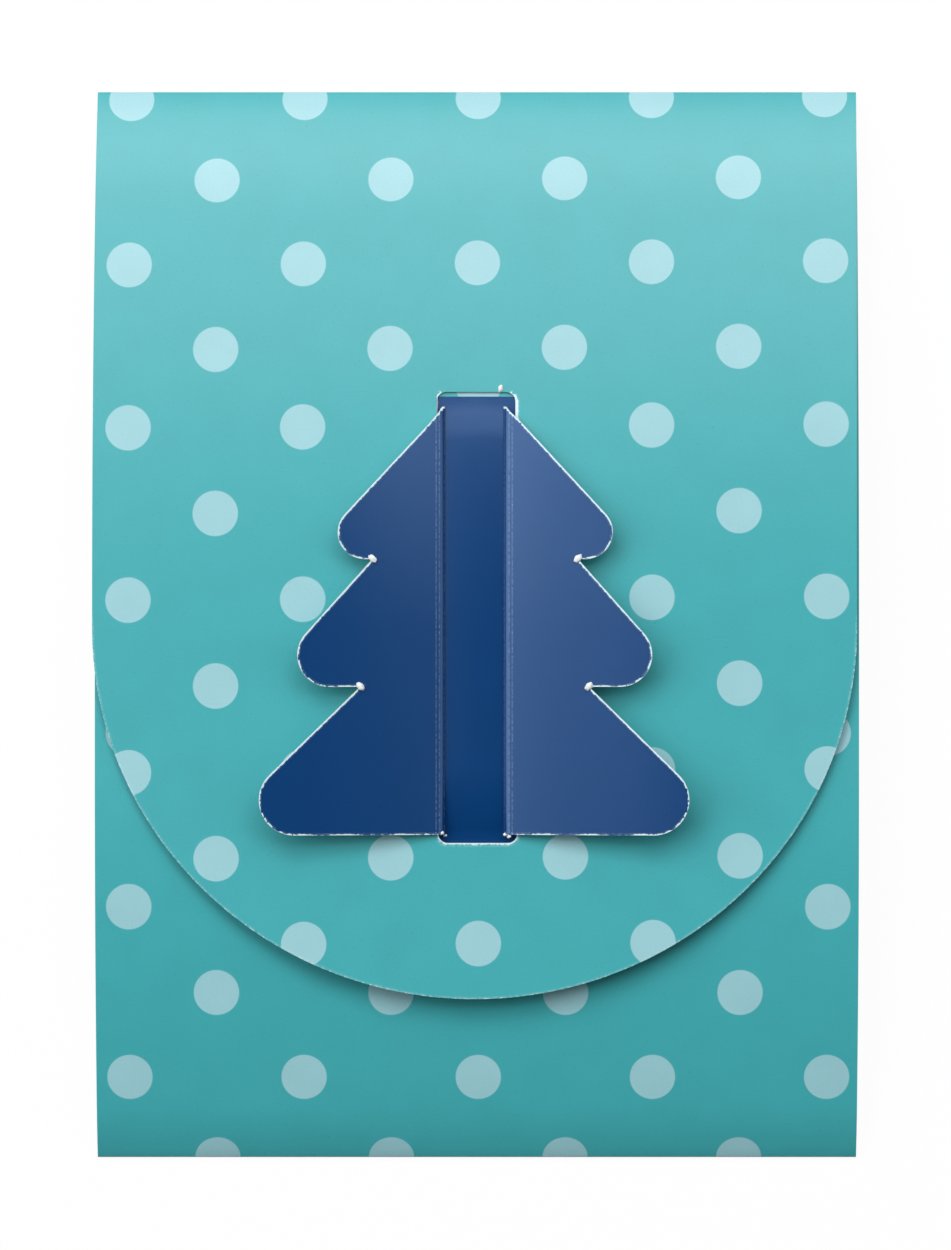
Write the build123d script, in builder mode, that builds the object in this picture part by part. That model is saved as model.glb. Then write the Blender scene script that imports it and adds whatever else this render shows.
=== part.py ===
from build123d import *
import os
from math import asin, cos, degrees, radians, sin, sqrt, tan

# A greeting card cut and creased from one sheet of board and folded in three:
# back panel, front panel folded up over it, and a round-ended flap folded down
# over both. A tree cut in the front panel passes through a slot in the flap, and
# its two wings open out over the flap and lock the card.
#
# Millimetres and degrees. The card lies on its back: X across, Y towards the top
# fold, Z up from the table, with the origin under the middle of the back panel.

# Sheet
card_width = 100.0
card_height = 139.5
board = 0.4
fold_radius = 0.3

# Flap, which springs up from the top fold and then settles level
flap_rise = 22.0
flap_knee_slope = 9.0
flap_knee_radius = 75.0
flap_height = 9.8
flap_margin = 20.8
flap_round = 48.5

# Front panel, which springs up from the bottom fold and runs close under the flap
front_rise = 30.0
front_knee_radius = 25.0
front_release = 8.0
inner_gap = 0.6
tuck_slope = 16.0

# Tree, with spans measured at the sharp corners before they are rounded
tree_margin = 21.5
tree_height = 56.0
lower_span = 69.4
lower_round = 4.6
lower_notch_span = 29.8
middle_step = 19.35
middle_span = 56.4
middle_round = 4.15
upper_notch_span = 26.8
upper_step = 36.0
upper_span = 44.8
upper_round = 3.5

# Strip between the two wings, which bridges up from the front panel
strip_width = 7.9
strip_drop = 0.1
top_ramp = 4.6
foot_ramp = 7.4
ramp_seat = 0.5

# Creases and wings, which curl: they rise most steeply next to the crease
crease_width = 1.1
crease_round = 0.5
wing_gap = 0.3
wing_rise = 14.0
wing_tip_rise = 3.0

# Slot in the flap
slot_width = 10.3
slot_round = 1.2
slot_above_tree = 1.9
slot_below_tree = 1.1

# Levels of the middle of the board, the last three measured from the flap's own
back_level = board / 2
flap_level = flap_height - board / 2
front_lift = -(board + inner_gap)
strip_lift = -strip_drop
wing_lift = board + wing_gap

# Stations along the card
top_fold = card_height / 2
bottom_fold = -card_height / 2
flap_end = bottom_fold + flap_margin
tree_foot = flap_end + tree_margin
tree_top = tree_foot + tree_height
release = tree_foot + front_release

# Top fold: the board turns over until it rises at flap_rise
flap_start_y = top_fold + fold_radius * sin(radians(flap_rise))
flap_start_z = back_level + fold_radius * (1 + cos(radians(flap_rise)))

# Knee and long bend of the flap, both centred below it
knee_centre_y = flap_start_y - flap_knee_radius * sin(radians(flap_rise))
knee_centre_z = flap_start_z - flap_knee_radius * cos(radians(flap_rise))
knee_end_z = knee_centre_z + flap_knee_radius * cos(radians(flap_knee_slope))
bend_radius = (flap_level - knee_end_z) / (1 - cos(radians(flap_knee_slope)))
bend_centre_z = flap_level - bend_radius
bend_centre_y = knee_centre_y - (bend_radius - flap_knee_radius) * sin(radians(flap_knee_slope))
bend_start_y = bend_centre_y + bend_radius * sin(radians(flap_knee_slope))

# Bow of the front panel: a knee at the bottom fold, then one long arc that meets
# the stretch under the flap where both are level
front_level = flap_level + front_lift
front_start_y = bottom_fold - fold_radius * sin(radians(front_rise))
front_start_z = back_level + fold_radius * (1 + cos(radians(front_rise)))
bow_run = release - front_start_y - front_knee_radius * sin(radians(front_rise))
bow_drop = front_level - front_start_z + front_knee_radius * cos(radians(front_rise))
bow_radius = (bow_run**2 + bow_drop**2 - front_knee_radius**2) / (2 * (bow_drop - front_knee_radius))
bow_slope = degrees(asin(bow_run / (bow_radius - front_knee_radius)))

# Curl of the wings, from the crease out to the widest corner of the tree
wing_root = strip_width / 2 + crease_width
wing_run = lower_span / 2 - wing_root
wing_radius = wing_run / (sin(radians(wing_rise)) - sin(radians(wing_tip_rise)))
root_rise = wing_lift - strip_lift


def flap_line_height(y, lift):
    """Height of the line that runs `lift` above the middle of the flap."""
    if y <= bend_centre_y:
        return flap_level + lift
    if y <= bend_start_y:
        return bend_centre_z + sqrt((bend_radius + lift) ** 2 - (y - bend_centre_y) ** 2)
    return knee_centre_z + sqrt((flap_knee_radius + lift) ** 2 - (y - knee_centre_y) ** 2)


def front_height(y):
    """Height of the middle of the front panel."""
    if y >= release:
        return flap_line_height(y, front_lift)
    return front_level - bow_radius + sqrt(bow_radius**2 - (y - release) ** 2)


def flap_line(lift, start_slope=flap_rise):
    """Line that runs `lift` above the middle of the flap, drawn from its steep end."""
    knee_radius = flap_knee_radius + lift
    rise, run = sin(radians(start_slope)), cos(radians(start_slope))
    start = (knee_centre_y + knee_radius * rise, knee_centre_z + knee_radius * run)
    knee = JernArc(start, (-run, rise), knee_radius, start_slope - flap_knee_slope)
    bend = JernArc(knee @ 1, knee % 1, bend_radius + lift, flap_knee_slope)
    Line(bend @ 1, (flap_end, flap_level + lift))


def tree(stretch=1.0):
    """The tree's outline in plan, its spans widened by `stretch`."""
    with BuildSketch() as outline:
        with BuildLine():
            half = Polyline(
                (0, tree_foot),
                (stretch * lower_span / 2, tree_foot),
                (stretch * lower_notch_span / 2, tree_foot + middle_step),
                (stretch * middle_span / 2, tree_foot + middle_step),
                (stretch * upper_notch_span / 2, tree_foot + upper_step),
                (stretch * upper_span / 2, tree_foot + upper_step),
                (strip_width / 2, tree_top),
                (0, tree_top),
            )
            mirror(half, about=Plane.YZ)
        make_face()
        for span, radius in (
            (lower_span, lower_round),
            (middle_span, middle_round),
            (upper_span, upper_round),
        ):
            corner_x = stretch * span / 2
            tips = outline.vertices().filter_by(lambda tip: abs(abs(tip.X) - corner_x) < board / 10)
            fillet(tips, radius)
    return outline.sketch


def between(low, high, width=card_width):
    """Rectangle across the card from one station along it to another."""
    with Locations((0, (low + high) / 2)):
        Rectangle(width, high - low)


# Back panel with both folds, and the front panel's bow up from the bottom fold
with BuildPart() as back_panel:
    with BuildSketch(Plane.YZ):
        with BuildLine():
            back_line = Line((bottom_fold, back_level), (top_fold, back_level))
            JernArc(back_line @ 1, (1, 0), fold_radius, 180 - flap_rise)
            low_fold = JernArc(back_line @ 0, (-1, 0), fold_radius, front_rise - 180)
            low_knee = JernArc(low_fold @ 1, low_fold % 1, front_knee_radius, bow_slope - front_rise)
            JernArc(low_knee @ 1, low_knee % 1, bow_radius, -bow_slope)
        trace(line_width=board)
    extrude(amount=card_width / 2, both=True)

# Rest of the front panel, tucked up under the flap
with BuildPart() as tucked_panel:
    with BuildSketch(Plane.YZ):
        with BuildLine():
            flap_line(front_lift, tuck_slope)
        trace(line_width=board)
    extrude(amount=card_width / 2, both=True)
    with BuildSketch():
        between(release, top_fold)
    extrude(amount=flap_height, mode=Mode.INTERSECT)

# Flap, with its round end, which is a little shallower than a half circle, and its slot
with BuildPart() as flap:
    with BuildSketch(Plane.YZ):
        with BuildLine():
            flap_line(0)
        trace(line_width=board)
    extrude(amount=card_width / 2, both=True)
    with BuildSketch():
        between(flap_end + flap_round, 2 * top_fold)
        with Locations((0, flap_end + flap_round)):
            Ellipse(card_width / 2, flap_round)
    extrude(amount=2 * flap_height, mode=Mode.INTERSECT)
    with BuildSketch() as slot:
        between(tree_foot - slot_below_tree, tree_top + slot_above_tree, slot_width)
        fillet(slot.vertices(), slot_round)
    extrude(amount=2 * flap_height, mode=Mode.SUBTRACT)

# Strip: level with the flap between a ramp at each end down to the front panel
with BuildPart() as strip:
    with BuildSketch(Plane.YZ):
        with BuildLine():
            flap_line(strip_lift)
        trace(line_width=board)
    extrude(amount=strip_width / 2, both=True)
    with BuildSketch():
        between(tree_foot + foot_ramp, tree_top - top_ramp, strip_width)
    extrude(amount=2 * flap_height, mode=Mode.INTERSECT)

with BuildPart() as ramps:
    with BuildSketch(Plane.YZ):
        for bridge_y, seat_y in (
            (tree_top - top_ramp, tree_top + ramp_seat),
            (tree_foot + foot_ramp, tree_foot - ramp_seat),
        ):
            with BuildLine():
                Line(
                    (bridge_y, flap_line_height(bridge_y, strip_lift)),
                    (seat_y, front_height(seat_y)),
                )
            trace(line_width=board)
    extrude(amount=strip_width / 2, both=True)

# Wings: each climbs a crease beside the strip and curls up over the flap
with BuildPart() as wings:
    with BuildLine(Plane.YZ) as wing_path:
        flap_line(strip_lift)
    with BuildSketch(Plane(wing_path.wire() @ 0, x_dir=(1, 0, 0), z_dir=wing_path.wire() % 0)):
        with BuildLine():
            crease = FilletPolyline(
                (strip_width / 2 - board / 4, 0),
                (wing_root, root_rise),
                (wing_root + crease_width, root_rise + crease_width * tan(radians(wing_rise))),
                radius=crease_round,
            )
            JernArc(crease @ 1, crease % 1, wing_radius, wing_tip_rise - wing_rise)
        trace(line_width=board)
    sweep(path=wing_path.wire())
    mirror(about=Plane.YZ)
    with BuildSketch():
        add(tree())
    extrude(amount=2 * flap_height, mode=Mode.INTERSECT)

# The whole card: the tree is cut out of the front panel, where it leaves an
# opening as wide as the wings are when flat
with BuildPart() as folded_card:
    add(back_panel.part)
    add(tucked_panel.part)
    with BuildSketch(Plane.XY.offset(2 * board)):
        add(tree(stretch=wing_radius * radians(wing_rise - wing_tip_rise) / wing_run))
    extrude(amount=2 * flap_height, mode=Mode.SUBTRACT)
    add(flap.part)
    add(strip.part)
    add(ramps.part)
    add(wings.part)

folded_card.part.label = "folded_card"
os.makedirs("parts", exist_ok=True)
export_step(folded_card.part, "parts/folded_card.step")
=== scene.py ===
"""A folded greeting card, locked by a tree that opens out over its flap, on a white table."""

import logging
from dataclasses import dataclass, field, replace
from enum import Enum
from math import asin, ceil, cos, hypot, pi, radians, sin, sqrt, tan
from random import Random
from typing import Callable, Iterable, Optional, Sequence

import bmesh
import bpy
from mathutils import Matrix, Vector, noise
from mathutils.geometry import delaunay_2d_cdt, tessellate_polygon


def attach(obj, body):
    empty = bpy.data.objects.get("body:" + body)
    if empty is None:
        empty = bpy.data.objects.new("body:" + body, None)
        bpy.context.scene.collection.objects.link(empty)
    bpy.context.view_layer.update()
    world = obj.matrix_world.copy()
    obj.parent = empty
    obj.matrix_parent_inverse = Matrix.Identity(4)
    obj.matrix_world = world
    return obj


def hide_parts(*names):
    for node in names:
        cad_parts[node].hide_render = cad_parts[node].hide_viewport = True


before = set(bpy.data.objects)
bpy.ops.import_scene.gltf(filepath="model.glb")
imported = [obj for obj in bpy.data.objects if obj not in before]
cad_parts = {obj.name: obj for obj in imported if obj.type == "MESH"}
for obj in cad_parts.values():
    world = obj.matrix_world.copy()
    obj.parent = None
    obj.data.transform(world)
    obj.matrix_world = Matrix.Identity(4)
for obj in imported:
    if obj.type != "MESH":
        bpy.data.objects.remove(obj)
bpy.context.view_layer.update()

log = logging.getLogger("greeting_card")

MM = 0.001
NODE = "folded_card"

# A length or a turn smaller than this counts as none.
NOTHING = 1e-9

Point = tuple[float, float]
Loop = list[Point]
Colour = tuple[float, float, float, float]
WHITE: Colour = (1.0, 1.0, 1.0, 1.0)


def ink(red: int, green: int, blue: int) -> Colour:
    """Turn a colour as a screen shows it into the linear one that shaders take.

    Args:
        red: its level of red, from 0 to 255.
        green: its level of green.
        blue: its level of blue.

    Returns:
        The linear colour, opaque.
    """
    def linear(level: int) -> float:
        """Undo the screen's curve for one channel."""
        part = level / 255
        return part / 12.92 if part <= 0.04045 else ((part + 0.055) / 1.055) ** 2.4

    return (linear(red), linear(green), linear(blue), 1.0)


def clamped(share: float) -> float:
    """Hold a share between 0 and 1."""
    return min(1.0, max(0.0, share))


def eased(share: float) -> float:
    """Soften both ends of a change that goes from 0 to 1."""
    share = clamped(share)
    return share * share * (3 - 2 * share)


class Side(Enum):
    """The two halves of the tree."""

    LEFT = -1
    RIGHT = 1


class Face(Enum):
    """What a face of the sheet shows, the two printed kinds first as in its slots."""

    DOTTED = 0
    BLUE = 1
    INSIDE = 2
    CORE = 3


# ---------------------------------------------------------------- lines and outlines


@dataclass(frozen=True)
class Station:
    """Where a bent line is at one distance along it, in the plane across the folds.

    Attributes:
        y: its place along the card.
        z: its height.
        heading: its direction there, in radians from +Y towards +Z.
    """

    y: float
    z: float
    heading: float


@dataclass(frozen=True)
class BentLine:
    """A line of straights and arcs, as the edge of a bent sheet shows it.

    Attributes:
        start: y and z of its first point.
        heading: direction it sets out in, in radians from +Y towards +Z.
        stretches: length and turn of each stretch, with a turn of 0 for a straight.
    """

    start: Point
    heading: float
    stretches: tuple[Point, ...]

    @property
    def length(self) -> float:
        """Length of the whole line."""
        return sum(length for length, _ in self.stretches)

    @property
    def past_fold(self) -> float:
        """Distance at which the line leaves its fold, which follows the back's straight."""
        return sum(length for length, _ in self.stretches[:2])

    def at(self, distance: float) -> Station:
        """Follow the line.

        Args:
            distance: how far to go along it.

        Returns:
            The place reached, and the heading there.
        """
        y, z = self.start
        heading = self.heading
        for length, turn in self.stretches:
            run = min(distance, length)
            turned = turn * run / length
            if abs(turn) < NOTHING:
                y += run * cos(heading)
                z += run * sin(heading)
            else:
                radius = length / turn
                y += radius * (sin(heading + turned) - sin(heading))
                z += radius * (cos(heading) - cos(heading + turned))
            heading += turned
            distance -= run
            if distance <= 0:
                break
        return Station(y, z, heading)

    def beyond_fold(self, y: float) -> float:
        """Find where the line passes a station, once it has left its fold.

        Args:
            y: the station.

        Returns:
            The distance along the line, from its start.
        """
        low, high = self.past_fold, self.length
        rising = self.at(high).y > self.at(low).y
        halvings = 50
        for _ in range(halvings):
            middle = (low + high) / 2
            if (self.at(middle).y < y) == rising:
                low = middle
            else:
                high = middle
        return (low + high) / 2


def steps(low: float, high: float, pitch: float) -> list[float]:
    """Divide a span evenly.

    Args:
        low: one end of it.
        high: its other end.
        pitch: longest step.

    Returns:
        The places between the steps, both ends included.
    """
    leeway = 1e-6
    count = max(1, ceil(abs(high - low) / pitch - leeway))
    return [low + (high - low) * i / count for i in range(count + 1)]


def rounded(corners: Sequence[tuple[float, float, float]], pitch: float = 0.35) -> Loop:
    """Round the corners of a closed outline.

    Args:
        corners: x, y and radius of each corner, in order. A radius of 0 stays sharp.
        pitch: longest step along a rounded corner.

    Returns:
        The outline's points.
    """
    points: Loop = []
    for index, (x, y, radius) in enumerate(corners):
        if radius <= 0:
            points.append((x, y))
            continue
        here = Vector((x, y))
        before = (Vector(corners[index - 1][:2]) - here).normalized()
        after = (Vector(corners[(index + 1) % len(corners)][:2]) - here).normalized()
        half = before.angle(after) / 2
        bisector = (before + after).normalized()
        centre = here + bisector * radius / sin(half)
        first = here + before * radius / tan(half) - centre
        sweep = (here + after * radius / tan(half) - centre).angle_signed(first)
        for turn in steps(0, sweep, pitch / radius):
            spoke = Vector(
                (
                    first.x * cos(turn) - first.y * sin(turn),
                    first.x * sin(turn) + first.y * cos(turn),
                )
            )
            points.append(tuple(centre + spoke))
    return points


def divided(loop: Loop, pitch: float) -> Loop:
    """Add points along the long sides of a closed outline.

    Args:
        loop: the outline.
        pitch: longest side that is left whole.

    Returns:
        The outline with more points.
    """
    points: Loop = []
    for index, start in enumerate(loop):
        end = loop[(index + 1) % len(loop)]
        parts = max(1, ceil(hypot(end[0] - start[0], end[1] - start[1]) / pitch))
        for i in range(parts):
            share = i / parts
            points.append(
                (start[0] + (end[0] - start[0]) * share, start[1] + (end[1] - start[1]) * share)
            )
    return points


def area(loop: Loop) -> float:
    """Measure a closed outline.

    Args:
        loop: the outline.

    Returns:
        Its area, positive when it runs anticlockwise.
    """
    return sum(
        x * loop[(i + 1) % len(loop)][1] - loop[(i + 1) % len(loop)][0] * y
        for i, (x, y) in enumerate(loop)
    ) / 2


def beside(loop: Loop, distance: float) -> Loop:
    """Draw a closed outline again, beside itself.

    Args:
        loop: the outline.
        distance: how far inside it the new one runs. Negative puts it outside.

    Returns:
        The new outline's points.
    """
    sense = 1 if area(loop) > 0 else -1
    least_mitre = 0.25
    points: Loop = []
    for index, here in enumerate(loop):
        before = Vector(here) - Vector(loop[index - 1])
        after = Vector(loop[(index + 1) % len(loop)]) - Vector(here)
        first = Vector((-before.y, before.x)).normalized()
        second = Vector((-after.y, after.x)).normalized()
        mitre = first + second
        mitre /= max(mitre.length_squared / 2, least_mitre)
        points.append(tuple(Vector(here) + mitre * distance * sense))
    return points


def inside(point: Point, loop: Loop) -> bool:
    """Tell whether a point lies inside a closed outline.

    Args:
        point: the point.
        loop: the outline.

    Returns:
        True if it does.
    """
    x, y = point
    within = False
    for index, (x0, y0) in enumerate(loop):
        x1, y1 = loop[index - 1]
        if (y0 > y) != (y1 > y) and x < (x1 - x0) * (y - y0) / (y1 - y0) + x0:
            within = not within
    return within


@dataclass
class FlatCut:
    """A flat piece of board, cut to an outline and scored on a grid, in millimetres.

    Attributes:
        outline: its cut edge.
        holes: outlines of what is cut out of it.
        trim: width of the band along the outline, where the ink is worn.
        hole_trim: width of that band round each hole.
        across: stations of the score lines that run across.
        along: stations of the score lines that run along.
        overshoot: how far the score lines run past the piece.
    """

    outline: Loop
    holes: list[Loop] = field(default_factory=list)
    trim: float = 0.36
    hole_trim: float = 0.6
    across: list[float] = field(default_factory=list)
    along: list[float] = field(default_factory=list)
    overshoot: float = 1.0

    def cells(self) -> tuple[list[Point], list[list[int]]]:
        """Cut the piece out.

        Returns:
            The points, and the cells between the score lines as lists of point numbers.
        """
        points: list[Vector] = []
        edges: list[tuple[int, int]] = []

        def add(line: Loop, closed: bool = True) -> list[int]:
            """Add a line's points and edges.

            Args:
                line: the points.
                closed: whether the last point is joined to the first.

            Returns:
                The numbers of the points.
            """
            first = len(points)
            points.extend(Vector(point) for point in line)
            numbers = list(range(first, len(points)))
            edges.extend(zip(numbers, numbers[1:]))
            if closed:
                edges.append((numbers[-1], numbers[0]))
            return numbers

        board = add(self.outline if area(self.outline) > 0 else self.outline[::-1])
        add(beside(self.outline, self.trim))
        for hole in self.holes:
            add(hole)
            add(beside(hole, -self.hole_trim))
        low_x, high_x = min(p[0] for p in self.outline), max(p[0] for p in self.outline)
        low_y, high_y = min(p[1] for p in self.outline), max(p[1] for p in self.outline)
        past = self.overshoot
        for y in self.across:
            if low_y < y < high_y:
                add([(low_x - past, y), (high_x + past, y)], closed=False)
        for x in self.along:
            if low_x < x < high_x:
                add([(x, low_y - past), (x, high_y + past)], closed=False)
        whole_cells, same_place = 4, 1e-5
        found, _, faces, *_ = delaunay_2d_cdt(points, edges, [board], whole_cells, same_place)
        flat = [tuple(point) for point in found]
        kept = []
        for face in faces:
            middle = self.middle([flat[i] for i in face])
            if inside(middle, self.outline) and not any(inside(middle, h) for h in self.holes):
                kept.append(list(face))
        return flat, kept

    @staticmethod
    def middle(cell: Loop) -> Point:
        """Find a point that is surely within a cell, also within a bent one.

        Args:
            cell: the cell's outline.

        Returns:
            The middle of the largest triangle that it divides into.
        """
        triangles = tessellate_polygon([[Vector((x, y, 0)) for x, y in cell]])
        largest = max(triangles, key=lambda t: abs(area([cell[i] for i in t])))
        return (sum(cell[i][0] for i in largest) / 3, sum(cell[i][1] for i in largest) / 3)


# ---------------------------------------------------------------- the card's shape


@dataclass(frozen=True)
class CardForm:
    """How the sheet is cut and how it stands, in millimetres and degrees.

    The frame is the part's own: X across, Y towards the top fold, Z up from the table.

    Attributes:
        width: width of the card.
        height: length of the back panel.
        board: thickness of the board.
        fold_radius: radius of both folds, at the middle of the board.
        flap_rise: slope of the flap where it leaves the top fold.
        knee_slope: slope of the flap where its knee passes into its long bend.
        knee_radius: radius of that knee.
        flap_height: height of the flap's outer side where it is level.
        flap_margin: distance from the bottom fold up to the flap's end.
        flap_round: length of the flap's round end.
        flap_sway: how far the flap's end has strayed to the right.
        front_rise: slope of the front panel where it leaves the bottom fold.
        front_knee_radius: radius of the knee that follows.
        front_release: distance above the tree's foot where the panel reaches the flap.
        inner_gap: gap between the flap and the front panel under it.
        tuck_slope: slope of the front panel's free end.
        tree_margin: distance from the flap's end up to the tree's foot.
        tree_height: height of the tree.
        strip_width: width of the strip between the wings.
        strip_drop: how far the strip lies below the flap's own level.
        press_reach: how far round the tree's top the front panel is pressed up.
        press_above: how far above the tree's top it is pressed up fully.
        press_gap: gap that is left there under the flap.
        top_ramp: length of the strip's ramp at the tree's top.
        foot_ramp: length of its ramp at the tree's foot.
        crease_width: width of the crease between the strip and each wing.
        crease_power: how much steeper the crease is next to the strip.
        crease_shift: how far to the right both creases stand.
        wing_gap: gap between the flap and the wings, next to the creases.
        wing_start_slope: slope of a wing next to its crease.
        wing_end_slope: slope of a wing at its widest corner.
        wing_reach: distance from the crease to that corner.
        slot_width: width of the slot in the flap.
        slot_round: radius of its corners.
        slot_shift: how far to the right it stands.
        slot_lean: how much further it stands to the right with each millimetre up.
        slot_above_tree: how far it reaches above the tree's top.
        slot_below_tree: how far it reaches below the tree's foot.
        blue_above_tree: how far the blue print reaches above the tree's top.
        blue_round_tree: how far it reaches below the tree's foot and beside the strip.
    """

    width: float = 100.0
    height: float = 139.5
    board: float = 0.4
    fold_radius: float = 0.3
    flap_rise: float = 22.0
    knee_slope: float = 9.0
    knee_radius: float = 75.0
    flap_height: float = 9.8
    flap_margin: float = 20.8
    flap_round: float = 48.5
    flap_sway: float = -0.31
    front_rise: float = 30.0
    front_knee_radius: float = 25.0
    front_release: float = 8.0
    inner_gap: float = 0.6
    tuck_slope: float = 16.0
    tree_margin: float = 21.5
    tree_height: float = 56.0
    strip_width: float = 7.9
    strip_drop: float = 0.3
    press_reach: float = 9.0
    press_above: float = 3.0
    press_gap: float = 0.05
    top_ramp: float = 4.2
    foot_ramp: float = 9.0
    crease_width: float = 1.1
    crease_power: float = 7.0
    crease_shift: float = -0.35
    wing_gap: float = 0.3
    wing_start_slope: float = 14.0
    wing_end_slope: float = 3.0
    wing_reach: float = 29.65
    slot_width: float = 10.3
    slot_round: float = 1.2
    slot_shift: float = 0.28
    slot_lean: float = -0.0045
    slot_above_tree: float = 1.9
    slot_below_tree: float = 1.1
    blue_above_tree: float = 1.3
    blue_round_tree: float = 3.0

    @property
    def top_fold(self) -> float:
        """Station of the top fold."""
        return self.height / 2

    @property
    def flap_end(self) -> float:
        """Station of the lowest point of the flap's round end."""
        return -self.height / 2 + self.flap_margin

    @property
    def tree_foot(self) -> float:
        """Station of the tree's foot."""
        return self.flap_end + self.tree_margin

    @property
    def tree_top(self) -> float:
        """Station of the tree's top."""
        return self.tree_foot + self.tree_height

    @property
    def tree_middle(self) -> float:
        """Station halfway up the tree."""
        return (self.tree_foot + self.tree_top) / 2

    @property
    def slot_low(self) -> float:
        """Station of the slot's lower end."""
        return self.tree_foot - self.slot_below_tree

    @property
    def slot_high(self) -> float:
        """Station of the slot's upper end."""
        return self.tree_top + self.slot_above_tree

    @property
    def release(self) -> float:
        """Station from which the front panel follows the flap."""
        return self.tree_foot + self.front_release

    @property
    def flap_level(self) -> float:
        """Height of the middle of the flap where it is level."""
        return self.flap_height - self.board / 2

    @property
    def knee_centre(self) -> Point:
        """Find the centre of the flap's knee.

        Returns:
            Its station along the card and its height.
        """
        rise = radians(self.flap_rise)
        reach = self.knee_radius - self.fold_radius
        return (
            self.top_fold - reach * sin(rise),
            self.board / 2 + self.fold_radius - reach * cos(rise),
        )

    @property
    def bend_radius(self) -> float:
        """Find the radius of the flap's long bend.

        Returns:
            The radius with which the bend becomes level at the flap's own height.
        """
        slope = radians(self.knee_slope)
        knee_end = self.knee_centre[1] + self.knee_radius * cos(slope)
        return (self.flap_level - knee_end) / (1 - cos(slope))

    @property
    def bend_centre_y(self) -> float:
        """Station where the flap's long bend becomes level."""
        reach = self.bend_radius - self.knee_radius
        return self.knee_centre[0] - reach * sin(radians(self.knee_slope))

    def flap_side(self) -> BentLine:
        """Draw the line that the flap's half of the sheet follows.

        Returns:
            The line from the middle of the back over the top fold to the flap's end.
        """
        rise, slope = radians(self.flap_rise), radians(self.knee_slope)
        return BentLine(
            start=(0.0, self.board / 2),
            heading=0.0,
            stretches=(
                (self.top_fold, 0.0),
                (self.fold_radius * (pi - rise), pi - rise),
                (
                    self.knee_radius * radians(self.flap_rise - self.knee_slope),
                    radians(self.flap_rise - self.knee_slope),
                ),
                (self.bend_radius * slope, slope),
                (self.bend_centre_y - self.flap_end, 0.0),
            ),
        )

    def front_side(self) -> BentLine:
        """Draw the line that the front panel's half of the sheet follows.

        Returns:
            The line from the middle of the back round the bottom fold to the free end.
        """
        rise = radians(self.front_rise)
        level = self.flap_level - self.board - self.inner_gap
        start_y = -self.top_fold - self.fold_radius * sin(rise)
        start_z = self.board / 2 + self.fold_radius * (1 + cos(rise))
        knee = self.front_knee_radius
        run = self.release - start_y - knee * sin(rise)
        drop = level - start_z + knee * cos(rise)
        bow = (run**2 + drop**2 - knee**2) / (2 * (drop - knee))
        bow_slope = asin(run / (bow - knee))
        lift = self.board + self.inner_gap
        slope = radians(self.knee_slope)
        tuck = radians(self.tuck_slope - self.knee_slope)
        return BentLine(
            start=(0.0, self.board / 2),
            heading=pi,
            stretches=(
                (self.top_fold, 0.0),
                (self.fold_radius * (pi - rise), rise - pi),
                (knee * (rise - bow_slope), bow_slope - rise),
                (bow * bow_slope, -bow_slope),
                (self.bend_centre_y - self.release, 0.0),
                ((self.bend_radius - lift) * slope, -slope),
                ((self.knee_radius - lift) * tuck, -tuck),
            ),
        )

    def flap_height_at(self, y: float, lift: float = 0.0) -> float:
        """Find the height of a line that runs along the flap.

        Args:
            y: station along the card.
            lift: how far the line runs above the middle of the flap.

        Returns:
            The height over the table.
        """
        slope = radians(self.knee_slope)
        if y <= self.bend_centre_y:
            return self.flap_level + lift
        if y <= self.bend_centre_y + self.bend_radius * sin(slope):
            centre = self.flap_level - self.bend_radius
            return centre + sqrt((self.bend_radius + lift) ** 2 - (y - self.bend_centre_y) ** 2)
        centre_y, centre_z = self.knee_centre
        return centre_z + sqrt((self.knee_radius + lift) ** 2 - (y - centre_y) ** 2)

    def press(self, x: float, y: float) -> float:
        """Find how far the front panel is pressed up against the flap.

        Args:
            x: place across the card.
            y: station along it.

        Returns:
            The height gained, which is greatest round the tree's top.
        """
        aside = max(0.0, abs(x - self.crease_shift) - self.strip_width)
        below = max(0.0, self.tree_top - y)
        above = max(0.0, y - self.tree_top - self.press_above)
        off = hypot(aside, below, above)
        return (self.inner_gap - self.press_gap) * eased(1 - off / self.press_reach)

    def strip_rise(self, y: float) -> float:
        """Find the share of the way up to its bridge that the strip is at one station.

        Args:
            y: the station along the card.

        Returns:
            0 at the ends of the strip and 1 on the bridge.
        """
        climb = (y - self.tree_foot) / self.foot_ramp
        fall = (self.tree_top - y) / self.top_ramp
        share = clamped(min(climb, fall))
        return 1 - (1 - share) ** 2

    def wing_climb(self, out: float) -> float:
        """Find the height that a wing has gained over its root.

        Args:
            out: distance out from the crease.

        Returns:
            The height gained.
        """
        start = tan(radians(self.wing_start_slope))
        end = tan(radians(self.wing_end_slope))
        return start * out + (end - start) * out * out / (2 * self.wing_reach)


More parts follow.
